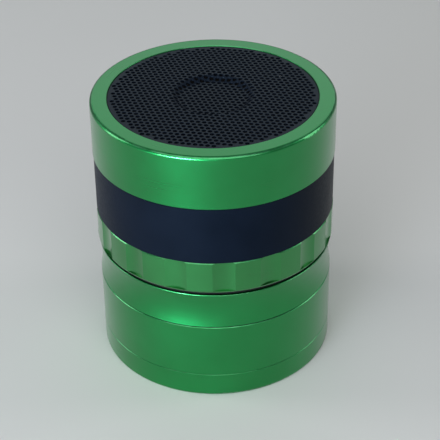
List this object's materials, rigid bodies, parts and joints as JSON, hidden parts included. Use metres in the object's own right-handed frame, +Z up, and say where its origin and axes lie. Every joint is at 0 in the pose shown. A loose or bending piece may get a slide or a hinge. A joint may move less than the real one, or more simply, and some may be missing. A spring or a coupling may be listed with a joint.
{
  "type": "hand grinder",
  "caption": "Round metal hand grinder of stacked threaded chambers, with a fluted magnetic lid and a small loudspeaker under a round perforated grille.",
  "frame": {"origin": "centre of the underside, on the surface it stands on", "axes": "+Z up the axis of the stack; the front, seen in the picture, faces -Y and the controls face +Y; +X to the right"},
  "size_m": [0.063, 0.063, 0.0734],
  "materials": {
    "green_catcher": "satin anodised, fine turned grain",
    "green_storage": "satin anodised, fine turned grain",
    "green_chamber": "satin anodised, fine turned grain",
    "green_lid": "satin anodised, fine milled grain",
    "green_housing": "satin anodised, fine turned grain",
    "seal_ring": "low-friction white ring",
    "glide_plastic": "low-friction black ring",
    "screen_steel": "woven stainless",
    "spring_steel": "spring steel",
    "magnet_nickel": "nickel plated",
    "band_black": "fine moulded satin",
    "grille_black": "black powder coat",
    "ring_black": "moulded",
    "gasket_foam": "closed-cell foam",
    "basket_steel": "black electrocoat",
    "plate_steel": "zinc plated",
    "ferrite": "ground ferrite",
    "yoke_steel": "zinc plated",
    "surround_rubber": "soft butyl",
    "spider_cloth": "resin-treated cloth",
    "cone_paper": "pressed pulp",
    "coil_copper": "enamelled copper on a paper former",
    "cap_paper": "pressed pulp, lacquered",
    "board_green": "solder mask on glass fibre",
    "module_can": "tinned shield can",
    "chip_black": "moulded epoxy and metal cans",
    "socket_steel": "stamped stainless shell",
    "switch_case": "moulded",
    "slide_case": "folded tin plate",
    "lens_clear": "frosted clear",
    "cell_foil": "laminated pouch foil",
    "pad_foam": "adhesive foam",
    "wire_red_black": "soft insulation",
    "wire_speaker": "soft insulation",
    "screw_steel": "zinc plated",
    "button_black": "fine moulded satin"
  },
  "bodies": {
    "kief_catcher": {"kief_catcher": "green_catcher"},
    "catcher_seal": {"catcher_seal": "seal_ring"},
    "storage_chamber": {"storage_chamber": "green_storage", "pollen_screen": "screen_steel", "screen_retainer": "spring_steel"},
    "storage_seal": {"storage_seal": "seal_ring"},
    "grinding_chamber": {"grinding_chamber": "green_chamber", "chamber_tooth_plate": "green_chamber", "chamber_teeth": "green_chamber", "chamber_magnet": "magnet_nickel"},
    "glide_ring": {"glide_ring": "glide_plastic"},
    "lid": {"grinder_lid": "green_lid", "lid_tooth_plate": "green_lid", "lid_teeth": "green_lid", "lid_magnet": "magnet_nickel", "speaker_band": "band_black", "speaker_housing": "green_housing", "grille_mesh": "grille_black", "grille_ring": "ring_black", "driver_gasket": "gasket_foam", "driver_basket": "basket_steel", "driver_top_plate": "plate_steel", "driver_magnet": "ferrite", "driver_yoke": "yoke_steel", "surround": "surround_rubber", "spider": "spider_cloth", "circuit_board": "board_green", "radio_module": "module_can", "board_chips": "chip_black", "usb_socket": "socket_steel", "tact_switches": "switch_case", "switch_body": "slide_case", "led_lens": "lens_clear", "battery_cell": "cell_foil", "battery_pad": "pad_foam", "battery_leads": "wire_red_black", "speaker_leads": "wire_speaker", "board_screws": "screw_steel", "chassis_screws": "screw_steel", "driver_screws": "screw_steel"},
    "diaphragm": {"cone": "cone_paper", "voice_coil": "coil_copper", "dust_cap": "cap_paper"},
    "volume_down_button": {"volume_down_button": "button_black"},
    "play_button": {"play_button": "button_black"},
    "volume_up_button": {"volume_up_button": "button_black"},
    "power_slider": {"power_slider": "button_black"}
  },
  "joints": [
    {"name": "storage_turn", "type": "hinge", "parent": "kief_catcher", "child": "catcher_seal", "pos_m": [0, 0, 0.00685], "axis": [0, 0, 1], "range_deg": [0, 1440]},
    {"name": "storage_rise", "type": "slide", "parent": "catcher_seal", "child": "storage_chamber", "axis": [0, 0, 1], "range_m": [0, 0.012]},
    {"name": "chamber_turn", "type": "hinge", "parent": "storage_chamber", "child": "storage_seal", "pos_m": [0, 0, 0.0225], "axis": [0, 0, 1], "range_deg": [0, 1440]},
    {"name": "chamber_rise", "type": "slide", "parent": "storage_seal", "child": "grinding_chamber", "axis": [0, 0, 1], "range_m": [0, 0.012]},
    {"name": "lid_lift", "type": "slide", "parent": "grinding_chamber", "child": "glide_ring", "axis": [0, 0, 1], "range_m": [0, 0.03]},
    {"name": "lid_turn", "type": "hinge", "parent": "glide_ring", "child": "lid", "pos_m": [0, 0, 0.03365], "axis": [0, 0, 1], "continuous": true},
    {"name": "cone_travel", "type": "slide", "parent": "lid", "child": "diaphragm", "axis": [0, 0, 1], "range_m": [-0.0008, 0.0008], "stiffness_N_per_m": 1500, "deforming": ["surround", "spider"]},
    {"name": "volume_down_press", "type": "slide", "parent": "lid", "child": "volume_down_button", "axis": [-0.4067, -0.9135, 0], "range_m": [0, 0.0004], "stiffness_N_per_m": 1500, "springref_m": -0.0003},
    {"name": "play_press", "type": "slide", "parent": "lid", "child": "play_button", "axis": [-0.6561, -0.7547, 0], "range_m": [0, 0.0004], "stiffness_N_per_m": 1500, "springref_m": -0.0003},
    {"name": "volume_up_press", "type": "slide", "parent": "lid", "child": "volume_up_button", "axis": [-0.848, -0.5299, 0], "range_m": [0, 0.0004], "stiffness_N_per_m": 1500, "springref_m": -0.0003},
    {"name": "power_slide", "type": "slide", "parent": "lid", "child": "power_slider", "axis": [0.6947, 0.7193, 0], "range_m": [0, 0.002]}
  ],
  "couplings": [
    {"joint": "storage_rise", "follows": "storage_turn", "m_per_rad": 0.0004774},
    {"joint": "chamber_rise", "follows": "chamber_turn", "m_per_rad": 0.0004774}
  ]
}
